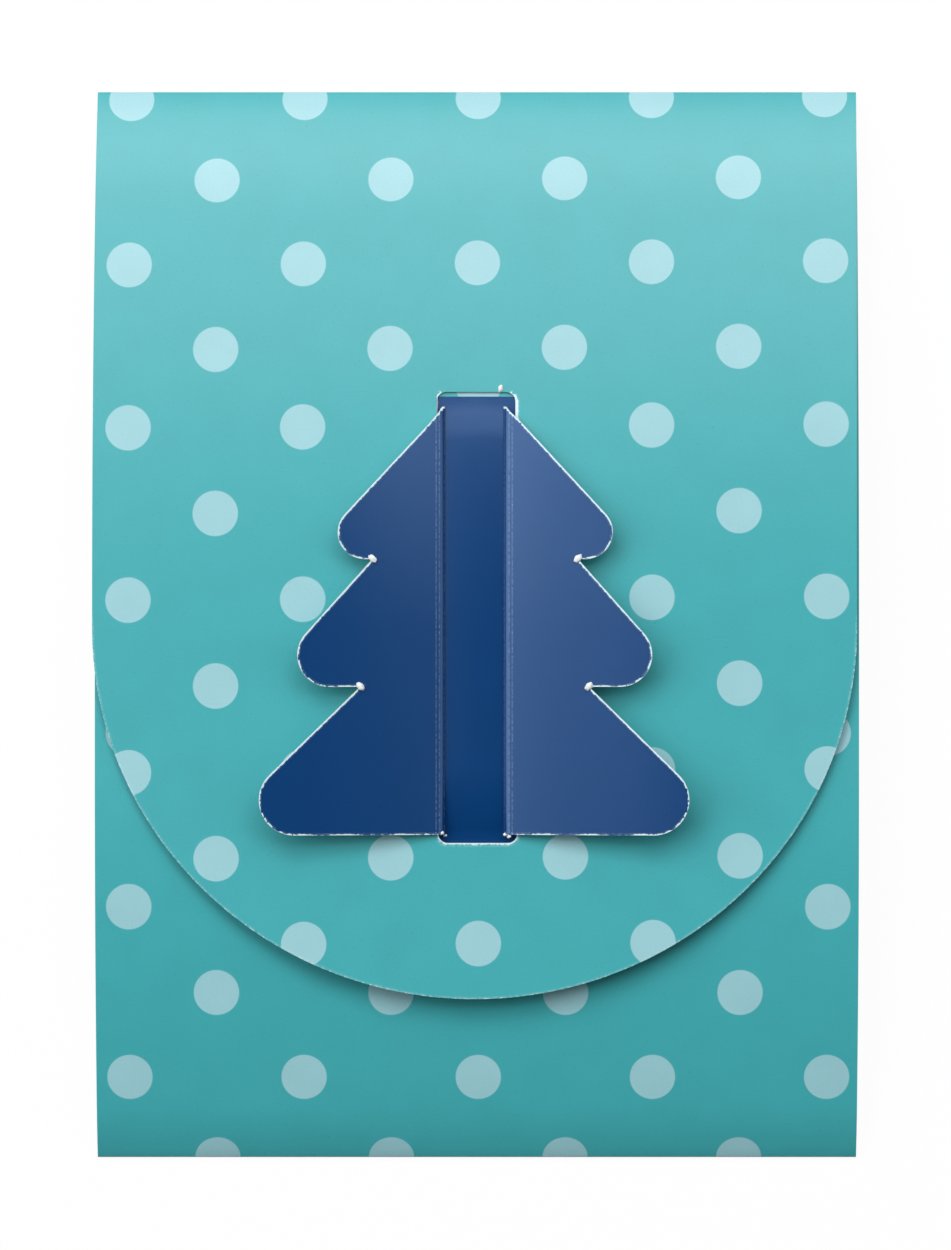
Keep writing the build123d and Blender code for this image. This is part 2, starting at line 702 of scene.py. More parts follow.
@dataclass(frozen=True)
class TreeCut:
    """The tree's outline in plan, its spans measured at the sharp corners, in millimetres.

    Attributes:
        lower_span: width of the lowest tier.
        lower_round: radius of its tips.
        lower_notch_span: distance between the notches above it.
        middle_step: height of the middle tier's foot over the tree's foot.
        middle_span: width of the middle tier.
        middle_round: radius of its tips.
        upper_notch_span: distance between the notches above it.
        upper_step: height of the top tier's foot over the tree's foot.
        upper_span: width of the top tier.
        upper_round: radius of its tips.
        top_land: width of the flat that is left at the top, beside the strip.
        lean: how much further the edge stands to the right with each millimetre up.
        shift: how far to the right it stands halfway up.
        lean_reach: distance from the strip at which the edge takes up its lean.
        pitch: longest side of the outline that is left whole.
    """

    lower_span: float = 69.4
    lower_round: float = 4.6
    lower_notch_span: float = 29.8
    middle_step: float = 19.35
    middle_span: float = 56.4
    middle_round: float = 4.15
    upper_notch_span: float = 26.8
    upper_step: float = 36.0
    upper_span: float = 44.8
    upper_round: float = 3.5
    top_land: float = 0.05
    lean: float = 0.0045
    shift: float = -0.26
    lean_reach: float = 2.0
    pitch: float = 1.5

    def half(self, form: CardForm, side: Side, leaning: bool = True) -> Loop:
        """Draw one half of the tree, from the strip's edge outwards.

        Args:
            form: the card that it is cut in.
            side: which half.
            leaning: whether the half leans with the tree.

        Returns:
            The outline of that half.
        """
        foot, root = form.tree_foot, form.strip_width / 2
        corners = (
            (root, foot, 0.0),
            (self.lower_span / 2, foot, self.lower_round),
            (self.lower_notch_span / 2, foot + self.middle_step, 0.0),
            (self.middle_span / 2, foot + self.middle_step, self.middle_round),
            (self.upper_notch_span / 2, foot + self.upper_step, 0.0),
            (self.upper_span / 2, foot + self.upper_step, self.upper_round),
            (root + self.top_land, form.tree_top, 0.0),
            (root, form.tree_top, 0.0),
        )
        placed: Loop = []
        for x, y in divided(rounded(corners), self.pitch):
            x *= side.value
            share = clamped((abs(x) - root) / self.lean_reach) if leaning else 0.0
            drift = self.shift - form.crease_shift + self.lean * (y - form.tree_middle)
            placed.append((x + form.crease_shift + share * drift, y))
        return placed


@dataclass(frozen=True)
class DotPlate:
    """How one printing of the dots lies on the flat sheet, in millimetres and radians.

    Attributes:
        x: where its first dot is, across the sheet.
        v: where its first dot is, along the sheet.
        down: 1 if its rows are counted along the sheet, -1 if against it.
        column: distance between its columns, of which every second one has a dot in a row.
        row: distance between its rows.
        row_tilt: slope of its rows.
        column_tilt: slope of its columns.
    """

    x: float
    v: float
    down: int
    column: float
    row: float
    row_tilt: float = 0.0
    column_tilt: float = 0.0

    def place(self, x: float, v: float) -> Point:
        """Give a point of the sheet in columns and rows.

        Args:
            x: its place across the sheet.
            v: its distance along the sheet.

        Returns:
            The column and the row, as numbers that needn't be whole.
        """
        along = v - self.v
        across = x - self.x
        return (
            (across - self.column_tilt * along) / self.column,
            (along + self.row_tilt * across) * self.down / self.row,
        )


@dataclass(frozen=True)
class EdgeWearAndLight:
    """How worn the ink is along the sheet's edges, from 0 for whole to 1 for bare board.

    Attributes:
        wing_edge_worn_and_lit: wear along the wings' edges. The bare board is real; keeping this
            full amount on edges that face up or sideways, towards the lamps up the card, is painted
            highlight.
        wing_foot_shaded: wear where such an edge faces down the card, away from the lamps. It is
            lower than elsewhere as painted shade.
        shade_from: how squarely an edge faces down where the painted shade starts to build.
        shade_over: how much more squarely it faces down where the painted shade is complete.
        flap_end: wear along the flap's round end.
        slot: wear along the slot's lower end.
        slot_lip: wear at the upper part of its sides, torn by the wings.
        slot_foot: how far up the slot's lower end reaches, in millimetres.
        slot_fade: length over which the lips' wear builds up from the top.
        slot_clear: length at the slot's very top that has none.
        crease: wear along the scuffed lines of the creases.
        crease_lines: where those lines run, as shares of the crease's width.
    """

    # Wings' edges: the bare board is real. Showing more of it on edges that face up the card,
    # towards the lamps, and less on edges that face down is painted light.
    wing_edge_worn_and_lit: float = 0.84
    wing_foot_shaded: float = 0.42
    shade_from: float = 0.35
    shade_over: float = 0.6
    flap_end: float = 0.42
    slot: float = 0.64
    slot_lip: float = 1.9
    slot_foot: float = 1.0
    slot_fade: float = 3.0
    slot_clear: float = 0.05
    crease: float = 0.3
    crease_lines: tuple[float, ...] = (0.12, 0.6, 0.97)


@dataclass(frozen=True)
class ScoreGrid:
    """How closely the flat sheet is scored, in millimetres unless said otherwise.

    Attributes:
        level: pitch across a level stretch.
        column: pitch of the lines that run along the panels.
        turn: most that a bend turns from one line to the next, in radians.
        turn_parts: fewest parts of a bend.
        closest: least distance between two lines.
        round_turn: step round the flap's end, in radians.
        slot: longest side of the slot's outline that is left whole.
        foot_ramp: pitch on the strip's ramp at the tree's foot.
        bridge: pitch along the rest of the strip.
        top_ramp: pitch on its ramp at the tree's top.
        pressed: where lines run above the tree's top, where the panel is pressed up.
        crease: where lines run in and next to the creases, as shares of a crease's width.
        wing: pitch of the lines that run along the wings.
    """

    level: float = 4.0
    column: float = 5.0
    turn: float = 0.22
    turn_parts: int = 6
    closest: float = 0.03
    round_turn: float = 0.022
    slot: float = 4.0
    foot_ramp: float = 0.8
    bridge: float = 2.0
    top_ramp: float = 0.7
    pressed: tuple[float, ...] = (0.0, 2.0, 3.0, 5.0, 7.0, 9.0)
    crease: tuple[float, ...] = (
        0.04, 0.08, 0.12, 0.18, 0.24, 0.31, 0.39, 0.49, 0.6, 0.71, 0.84, 0.97, 1.1, 1.4,
    )
    wing: float = 2.0


@dataclass
class CardSheet:
    """The one sheet of board: back, front panel with the tree's strip, flap, and wings.

    Attributes:
        form: how it is cut and folded.
        tree: the tree's outline.
        name: name of the piece.
        worn: how worn its edges are, with painted light along the wings' edges.
        grid: how closely it is scored.
        weld: distance within which the strip's and the wings' points are one, in millimetres.
        weld_margin: length at each end of the creases that isn't joined.
        line_match: how near a point has to be to a scuffed line to be on it.
        sway_share: share of the flap's length over which it strays sideways.
        sharp_angle: least angle between two faces that shows as a sharp edge, in degrees.
        flap_line: line that the flap's half of the sheet follows.
        front_line: line that the front panel's half follows.
    """

    form: CardForm
    tree: TreeCut
    name: str = "card_sheet"
    worn: EdgeWearAndLight = EdgeWearAndLight()
    grid: ScoreGrid = ScoreGrid()
    weld: float = 0.004
    weld_margin: float = 0.25
    line_match: float = 0.01
    sway_share: float = 0.55
    sharp_angle: float = 40.0
    flap_line: BentLine = field(init=False)
    front_line: BentLine = field(init=False)

    def __post_init__(self) -> None:
        """Draw the two lines that the sheet follows."""
        self.flap_line = self.form.flap_side()
        self.front_line = self.form.front_side()

    def flap_v(self, y: float) -> float:
        """Distance along the sheet at which the flap passes a station."""
        return self.flap_line.beyond_fold(y)

    def front_v(self, y: float) -> float:
        """Distance along the sheet, below zero, at which the front passes a station."""
        return -self.front_line.beyond_fold(y)

    def strip_height(self, y: float) -> float:
        """Find the height of the middle of the strip's board.

        Args:
            y: station along the card.

        Returns:
            The height over the table.
        """
        panel = self.front_line.at(-self.front_v(y)).z
        panel += self.form.press(self.form.crease_shift, y)
        bridge = self.form.flap_height_at(y, -self.form.strip_drop)
        return panel + self.form.strip_rise(y) * (bridge - panel)

    def wing_height(self, out: float, y: float) -> float:
        """Find the height of the middle of a wing's board.

        Args:
            out: distance from the middle of the strip.
            y: station along the card.

        Returns:
            The height over the table, in the crease beside the strip as well.
        """
        form = self.form
        root = form.strip_width / 2
        wing_root = root + form.crease_width
        top = form.flap_height_at(y, form.board + form.wing_gap)
        if out >= wing_root:
            return top + form.wing_climb(out - wing_root)
        share = max(0.0, out - root) / form.crease_width
        low = self.strip_height(y)
        sag = form.crease_width * tan(radians(form.wing_start_slope))
        wall = (1 - (1 - share) ** form.crease_power) * (top - low - sag)
        return low + wall + sag * share

    def sway(self, y: float) -> float:
        """Distance that the flap has strayed to the right at one station."""
        share = (self.form.top_fold - y) / (self.form.top_fold - self.form.flap_end)
        return self.form.flap_sway * (1 - (1 - clamped(share / self.sway_share)) ** 2)

    def on_panels(self, x: float, v: float) -> Vector:
        """Fold one point of the flat sheet.

        Args:
            x: its place across the sheet.
            v: its distance along the sheet from the middle of the back panel.

        Returns:
            Its place in the part's frame, in millimetres.
        """
        form = self.form
        if v >= 0:
            spot = self.flap_line.at(v)
            strayed = self.sway(spot.y) if v > self.flap_line.past_fold else 0.0
            return Vector((x + strayed, spot.y, spot.z))
        spot = self.front_line.at(-v)
        if -v <= self.front_line.past_fold:
            return Vector((x, spot.y, spot.z))
        on_strip = abs(x - form.crease_shift) <= form.strip_width / 2 + self.weld
        if on_strip and form.tree_foot < spot.y < form.tree_top:
            return Vector((x, spot.y, self.strip_height(spot.y)))
        return Vector((x, spot.y, spot.z + form.press(x, spot.y)))

    def slot_outline(self) -> Loop:
        """Draw the slot in the flap.

        Returns:
            Its outline on the flat sheet.
        """
        form = self.form
        half = form.slot_width / 2
        low, high = form.slot_low, form.slot_high
        corners = [
            (x, y, form.slot_round)
            for x, y in ((-half, low), (half, low), (half, high), (-half, high))
        ]
        middle = (low + high) / 2
        return [
            (x + form.slot_shift + form.slot_lean * (y - middle), self.flap_v(y))
            for x, y in divided(rounded(corners), self.grid.slot)
        ]

    def flap_outline(self) -> Loop:
        """Draw the round end of the flap.

        Returns:
            Its outline on the flat sheet, from its left to its right.
        """
        form = self.form
        points: Loop = []
        for turn in steps(pi, 2 * pi, self.grid.round_turn):
            rise = form.flap_round * (1 + sin(turn))
            points.append((form.width / 2 * cos(turn), self.flap_line.length - rise))
        return points

    def stations(self) -> list[float]:
        """Place the score lines across the flat sheet, closest where it bends most.

        Returns:
            Their distances along the sheet, in order.
        """
        form, grid = self.form, self.grid
        lines: list[float] = []
        for line, sense in ((self.flap_line, 1), (self.front_line, -1)):
            done = 0.0
            for length, turn in line.stretches:
                pitch = grid.level
                if turn:
                    pitch = min(pitch, length / max(grid.turn_parts, abs(turn) / grid.turn))
                lines += [sense * d for d in steps(done, done + length, pitch)]
                done += length
        lines += [self.front_v(y) for y in self.tree_rows()]
        lines += self.blue_span()
        lines += [self.front_v(form.tree_top + rise) for rise in grid.pressed]
        spaced: list[float] = []
        for line in sorted(lines):
            if not spaced or line - spaced[-1] > grid.closest:
                spaced.append(line)
        return spaced

    def tree_rows(self) -> list[float]:
        """Place the score lines across the tree, closest on the strip's two ramps.

        Returns:
            Their stations along the card.
        """
        form, grid = self.form, self.grid
        foot_end = form.tree_foot + form.foot_ramp
        top_start = form.tree_top - form.top_ramp
        return (
            steps(form.tree_foot, foot_end, grid.foot_ramp)[1:-1]
            + steps(foot_end, top_start, grid.bridge)
            + steps(top_start, form.tree_top, grid.top_ramp)[1:-1]
        )

    def shared_rows(self) -> list[float]:
        """Find where the front panel's score lines cross the tree.

        Returns:
            Their stations along the card, which the wings' score lines share.
        """
        first = self.form.tree_foot + self.line_match
        last = self.form.tree_top - self.line_match
        rows = [self.front_line.at(-v).y for v in self.stations() if v < -self.form.top_fold]
        return [y for y in rows if first < y < last]

    def blue_span(self) -> Point:
        """Find the stretch of the sheet where the front panel is printed blue.

        Returns:
            The distances along the sheet of its two ends.
        """
        form = self.form
        high, low = form.tree_top + form.blue_above_tree, form.tree_foot - form.blue_round_tree
        return (self.front_v(high), self.front_v(low))

    def plates(self) -> tuple[DotPlate, DotPlate, DotPlate]:
        """Lay the printing of the dots on the flat sheet.

        Returns:
            The printing of the back and the front, of the flap's top, and of its rest.
        """
        front_dot_y, flap_dot_y, top_lag = -59.4, -7.902, 1.0
        body = DotPlate(x=0.18, v=self.front_v(front_dot_y), down=-1, column=11.444, row=11.38)
        flap = DotPlate(
            x=-11.017,
            v=self.flap_v(flap_dot_y),
            down=1,
            column=11.417,
            row=11.284,
            row_tilt=0.0054,
            column_tilt=0.0028,
        )
        return body, replace(flap, v=flap.v + top_lag, row_tilt=0.0062), flap

    def lay_panels(self, bm: bmesh.types.BMesh) -> None:
        """Cut the panels out flat, print them, and fold them.

        Args:
            bm: the mesh that they are added to.
        """
        form = self.form
        half = form.width / 2
        end = -self.front_line.length
        halves = [
            [(x, self.front_v(y)) for x, y in self.tree.half(form, side, leaning=False)]
            for side in Side
        ]
        blue = form.strip_width / 2 + form.blue_round_tree
        columns = steps(-half, half, self.grid.column)[1:-1]
        columns += [form.crease_shift - blue, form.crease_shift + blue]
        cut = FlatCut(
            outline=[(half, end), *reversed(self.flap_outline()), (-half, end)],
            holes=[self.slot_outline(), *halves],
            across=self.stations(),
            along=columns,
        )
        low_v, high_v = self.blue_span()
        body, flap_top, flap = self.plates()
        seam_above_tree = 2.6
        seam = self.flap_v(form.tree_top + seam_above_tree)
        points, cells = cut.cells()

        def plate_for(v: float) -> DotPlate:
            """Choose the printing that a stretch of the sheet carries."""
            on_flap = flap_top if v < seam else flap
            return on_flap if v >= 0 else body

        def face_for(x: float, v: float) -> Face:
            """Choose the print of one cell."""
            in_blue = low_v < v < high_v and abs(x - form.crease_shift) < blue
            return Face.BLUE if in_blue else Face.DOTTED

        self.add_cells(bm, points, cells, self.on_panels, face_for, plate_for)

    def lay_wing(self, bm: bmesh.types.BMesh, side: Side) -> None:
        """Cut one wing out flat, print it blue, and stand it over the flap.

        Args:
            bm: the mesh that it is added to.
            side: which wing.
        """
        form, grid = self.form, self.grid
        root, crease = form.strip_width / 2, form.crease_width
        outs = [root + crease * share for share in grid.crease]
        outs += steps(root + 2 * crease, form.wing_reach, grid.wing)
        cut = FlatCut(
            outline=self.tree.half(form, side),
            across=self.shared_rows(),
            along=[form.crease_shift + side.value * out for out in outs],
        )
        points, cells = cut.cells()
        plain = DotPlate(x=0.0, v=0.0, down=1, column=1.0, row=1.0)

        def stand(x: float, y: float) -> Vector:
            """Lift one point of the wing to its height."""
            return Vector((x, y, self.wing_height(abs(x - form.crease_shift), y)))

        self.add_cells(
            bm, points, cells, stand, lambda x, y: Face.BLUE, lambda y: plain, upside=True
        )

    def add_cells(
        self,
        bm: bmesh.types.BMesh,
        points: list[Point],
        cells: list[list[int]],
        place: Callable[[float, float], Vector],
        face_for: Callable[[float, float], Face],
        plate_for: Callable[[float], DotPlate],
        upside: bool = False,
    ) -> None:
        """Add the cells of one flat cut to the sheet, in their places.

        Args:
            bm: the mesh that they are added to.
            points: the flat points.
            cells: the cells between the score lines.
            place: puts a flat point in its place, in millimetres.
            face_for: says which print a cell carries.
            plate_for: says which printing of the dots a cell carries.
            upside: whether the cut is drawn from its printed side.
        """
        sheet_map = bm.loops.layers.uv["sheet"]
        dot_map = bm.loops.layers.uv["dots"]
        verts = [bm.verts.new(place(x, y) * MM) for x, y in points]
        for cell in cells:
            order = cell if upside else cell[::-1]
            middle = FlatCut.middle([points[i] for i in cell])
            plate = plate_for(middle[1])
            face = bm.faces.new([verts[i] for i in order])
            face.material_index = face_for(*middle).value
            face.smooth = True
            for loop, number in zip(face.loops, order):
                x, y = points[number]
                loop[sheet_map].uv = (x, y)
                loop[dot_map].uv = plate.place(x, y)
        bmesh.ops.delete(bm, geom=[v for v in verts if not v.link_faces], context="VERTS")

    def join_wings(self, bm: bmesh.types.BMesh) -> None:
        """Join the wings to the strip along the creases.

        Args:
            bm: the sheet's mesh.
        """
        form = self.form
        low = (form.tree_foot + self.weld_margin) * MM
        high = (form.tree_top - self.weld_margin) * MM
        root = form.strip_width / 2
        meeting = [
            v
            for v in bm.verts
            if v.is_boundary
            and low < v.co.y < high
            and abs(abs(v.co.x / MM - form.crease_shift) - root) < self.weld
            and v.co.z > form.flap_height * MM / 2
        ]
        bmesh.ops.remove_doubles(bm, verts=meeting, dist=self.weld * MM)

    def mark_wear_and_light(self, bm: bmesh.types.BMesh) -> None:
        """Mark how worn the ink is along each cut edge and each crease.

        Args:
            bm: the sheet's mesh.
        """
        form = self.form
        wear = bm.verts.layers.float["wear"]
        root = form.strip_width / 2
        lines = [root + form.crease_width * share for share in self.worn.crease_lines]
        for vert in bm.verts:
            x, y, z = vert.co / MM
            out = abs(x - form.crease_shift)
            if vert.is_boundary:
                over_flap = z > form.flap_height_at(min(y, form.top_fold), form.board)
                if over_flap and out > root:
                    # On the wings' edges the mark is real wear with painted light on top: whiter
                    # facing up the card, less white facing down.
                    vert[wear] = self.wing_wear_and_light(vert)
                else:
                    vert[wear] = self.flap_wear(x, y, z)
            elif form.tree_foot < y < form.tree_top and z > form.flap_height / 2:
                if any(abs(out - line) < self.line_match for line in lines):
                    vert[wear] = self.worn.crease

    def wing_wear_and_light(self, vert: bmesh.types.BMVert) -> float:
        """Find how worn the ink is at one point of a wing's edge.

        Args:
            vert: the point.

        Returns:
            The wear: real bare board, cut back where the edge faces down the card as painted shade,
                so that edges facing up towards the lamps show as painted highlight.
        """
        worn = self.worn
        outward = Vector()
        for edge in vert.link_edges:
            if edge.is_boundary:
                face = edge.link_faces[0]
                outward += (edge.verts[0].co + edge.verts[1].co) / 2 - face.calc_center_median()
        outward.z = 0.0
        facing = outward.normalized().y if outward.length > NOTHING else 0.0
        # Painted shade: the more squarely an edge faces down the card, away from the lamps, the
        # less bare board it shows.
        share = clamped((-facing - worn.shade_from) / worn.shade_over)
        return worn.wing_edge_worn_and_lit + share * (worn.wing_foot_shaded - worn.wing_edge_worn_and_lit)

    def flap_wear(self, x: float, y: float, z: float) -> float:
        """Find how worn the ink is at one point of a panel's edge or of the slot's.

        Args:
            x: the point's place across the card.
            y: its place along the card.
            z: its height.

        Returns:
            The wear: a thin line round the flap's end, and bare board in the slot.
        """
        form, worn = self.form, self.worn
        under_flap, off_slot = form.inner_gap / 6, 1.0
        if y >= form.top_fold or z <= form.flap_height_at(y, -under_flap):
            return 0.0
        beside_slot = form.slot_low - off_slot < y < form.slot_high + off_slot
        if not beside_slot or abs(x) >= form.slot_width:
            return worn.flap_end if y < form.flap_end + form.flap_round else 0.0
        if y < form.tree_foot + worn.slot_foot:
            return worn.slot
        below_top = form.slot_high - y
        if below_top < worn.slot_clear:
            return 0.0
        return worn.slot + clamped(below_top / worn.slot_fade) * (worn.slot_lip - worn.slot)

    def build(self) -> bpy.types.Object:
        """Cut, print and fold the sheet.

        Returns:
            The sheet as one surface, in the part's frame.
        """
        bm = bmesh.new()
        bm.loops.layers.uv.new("sheet")
        bm.loops.layers.uv.new("dots")
        # The wear mark: real worn ink, and along the wings' edges painted light as well.
        bm.verts.layers.float.new("wear")
        self.lay_panels(bm)
        for side in Side:
            self.lay_wing(bm, side)
        self.join_wings(bm)
        self.mark_wear_and_light(bm)
        many = [face for face in bm.faces if len(face.verts) > 4]
        bmesh.ops.triangulate(bm, faces=many)
        return as_piece(bm, self.name)

    def dress(self, piece: bpy.types.Object, finishes: dict[Face, bpy.types.Material]) -> None:
        """Thicken the sheet, with its printed side out and its core at the cut edges.

        Args:
            piece: the sheet as one surface.
            finishes: the material of each kind of face.
        """
        printed = (Face.DOTTED, Face.BLUE)
        for face in (*printed, Face.INSIDE, Face.INSIDE, Face.CORE, Face.CORE):
            piece.data.materials.append(finishes[face])
        board = piece.modifiers.new("board", "SOLIDIFY")
        board.thickness = self.form.board * MM
        board.offset = 0.0
        board.material_offset = len(printed)
        board.material_offset_rim = 2 * len(printed)
        settle(piece)
        piece.data.set_sharp_from_angle(angle=radians(self.sharp_angle))


def as_piece(bm: bmesh.types.BMesh, name: str) -> bpy.types.Object:
    """Put a finished mesh in the scene.

    Args:
        bm: the mesh, which is used up.
        name: name of the new object.

    Returns:
        The object.
    """
    mesh = bpy.data.meshes.new(name)
    bm.to_mesh(mesh)
    bm.free()
    return put(bpy.data.objects.new(name, mesh))


def put(thing: bpy.types.Object) -> bpy.types.Object:
    """Put an object in the scene."""
    bpy.context.scene.collection.objects.link(thing)
    return thing


def settle(piece: bpy.types.Object) -> None:
    """Keep the shape that a piece's modifiers give it, and drop the modifiers.

    Args:
        piece: the piece.
    """
    graph = bpy.context.evaluated_depsgraph_get()
    mesh = bpy.data.meshes.new_from_object(piece.evaluated_get(graph))
    piece.modifiers.clear()
    piece.data = mesh


@dataclass(frozen=True)
class TornNick:
    """A tuft of torn fibres, where the board was still held when the cut piece was lifted.

    Attributes:
        x: its place across the card, in millimetres.
        y: its place along the card.
        z: height of what it stands on.
        size: its width.
        turn: direction that it is drawn out in, in degrees.
        spread: how it is drawn out along, across and up, as shares of its width.
        rough: how uneven it is, as a share of its width.
        fineness: how closely its bumps follow each other.
    """

    x: float
    y: float
    z: float
    size: float
    turn: float = 0.0
    spread: tuple[float, float, float] = (1.25, 0.8, 0.55)
    rough: float = 0.35
    fineness: float = 4.5

    def add_to(self, bm: bmesh.types.BMesh, dice: Random) -> None:
        """Add the tuft to a mesh.

        Args:
            bm: the mesh.
            dice: source of its rough shape.
        """
        made = bmesh.ops.create_icosphere(bm, subdivisions=3, radius=0.5)["verts"]
        far = 9.0
        seed = Vector([dice.uniform(-far, far) for _ in range(3)])
        angle = radians(self.turn)
        for vert in made:
            bump = 1.0 + self.rough * noise.noise(vert.co * self.fineness + seed)
            ball = vert.co * bump * self.size
            x, y, z = (share * part for share, part in zip(self.spread, ball))
            vert.co = (
                (self.x + x * cos(angle) - y * sin(angle)) * MM,
                (self.y + x * sin(angle) + y * cos(angle)) * MM,
                (self.z + z) * MM,
            )


@dataclass
class TornNicks:
    """All the torn tufts: at the notches between the tiers and round the slot.

    Attributes:
        form: the card's form.
        tree: the tree's outline.
        sheet: the sheet that the tufts stand on.
        name: name of the piece.
        notch_size: width of the tufts in the notches, in millimetres.
        notch_lift: how far they stand over the wing, and how far up the card they sit.
        notch_turn: how far outwards they are drawn, in degrees from straight up the card.
        foot_tufts: those at the tree's foot: side, distance out from the strip's edge,
            distance up from the foot, and width.
        foot_lift: how far those stand over the crease.
        foot_rise: how far up the card the height under them is taken.
        foot_turn: direction that they are drawn out in, in degrees.
        top_tuft: the one at the slot's top: place across, distance up from the slot,
            width, and direction.
    """

    form: CardForm
    tree: TreeCut
    sheet: CardSheet
    name: str = "torn_nicks"
    notch_size: float = 1.0
    notch_lift: Point = (0.12, 0.05)
    notch_turn: float = 45.0
    foot_tufts: tuple[tuple[Side, float, float, float], ...] = (
        (Side.LEFT, 0.35, 0.2, 0.55),
        (Side.LEFT, -0.15, -0.15, 0.4),
        (Side.RIGHT, 0.2, 0.05, 0.6),
        (Side.RIGHT, 0.6, -0.25, 0.45),
    )
    foot_lift: float = 0.15
    foot_rise: float = 0.3
    foot_turn: float = 20.0
    top_tuft: tuple[float, float, float, float] = (3.1, 0.45, 0.8, 80.0)

    def tufts(self) -> Iterable[TornNick]:
        """List the tufts, each on the edge that it was torn from.

        Yields:
            The tufts: in the notches, at the tree's foot, and at the slot's top.
        """
        form, tree = self.form, self.tree
        foot, root = form.tree_foot, form.strip_width / 2
        notches = (
            (tree.lower_notch_span / 2, foot + tree.middle_step),
            (tree.upper_notch_span / 2, foot + tree.upper_step),
        )
        lift, up = self.notch_lift
        for side in Side:
            for out, y in notches:
                height = self.sheet.wing_height(out, y) + form.board / 2
                x = side.value * out + tree.shift + tree.lean * (y - form.tree_middle)
                turn = 90 - side.value * self.notch_turn
                yield TornNick(x, y + up, height + lift, self.notch_size, turn)
        for side, beyond, up, size in self.foot_tufts:
            out = root + beyond
            height = self.sheet.wing_height(max(root, out), foot + self.foot_rise)
            x = form.crease_shift + side.value * out
            yield TornNick(x, foot + up, height + self.foot_lift, size, self.foot_turn)
        x, up, size, turn = self.top_tuft
        height = form.flap_height_at(form.slot_high) + form.board / 2
        yield TornNick(x, form.slot_high + up, height, size, turn)

    def build(self) -> bpy.types.Object:
        """Make all the tufts.

        Returns:
            The tufts as one object.
        """
        bm = bmesh.new()
        dice = Random(11)
        for tuft in self.tufts():
            tuft.add_to(bm, dice)
        piece = as_piece(bm, self.name)
        piece.data.shade_smooth()
        return piece


# ---------------------------------------------------------------- finishes


Socket = bpy.types.NodeSocket


